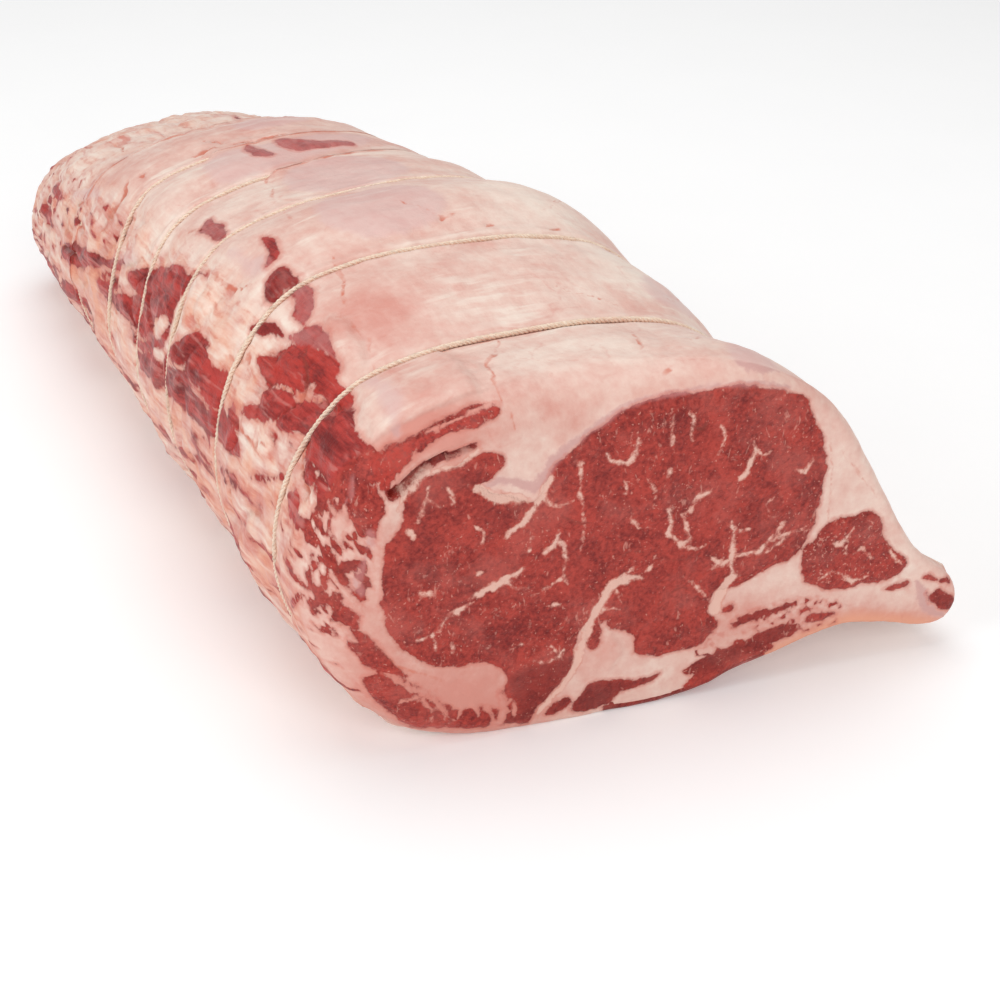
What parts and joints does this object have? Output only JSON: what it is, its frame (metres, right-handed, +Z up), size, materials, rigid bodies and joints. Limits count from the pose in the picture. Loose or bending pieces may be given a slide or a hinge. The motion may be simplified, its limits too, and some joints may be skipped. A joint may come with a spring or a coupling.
{
  "type": "raw beef rib roast",
  "caption": "Long block of raw beef with a fat cap and one marbled cut face, tied round with loops of cotton twine, lying rib side down.",
  "frame": {"origin": "under the middle of the roast's box, on the surface it lies on", "axes": "+Z up from the rib side to the fat cap, +Y along the roast from the marbled cut face to the far end, +X towards the thin rib-tip lip"},
  "size_m": [0.2276, 0.4888, 0.1354],
  "materials": {
    "raw_beef": "moist raw meat: deep red marbled lean on the cut face, pale pink fat with red patches over the rest",
    "cotton_twine": "undyed twisted cotton, matt"
  },
  "bodies": {
    "root": {"beef": "raw_beef", "twine_1": "cotton_twine", "twine_2": "cotton_twine", "twine_3": "cotton_twine", "twine_4": "cotton_twine", "twine_5": "cotton_twine", "twine_6": "cotton_twine"}
  },
  "joints": []
}
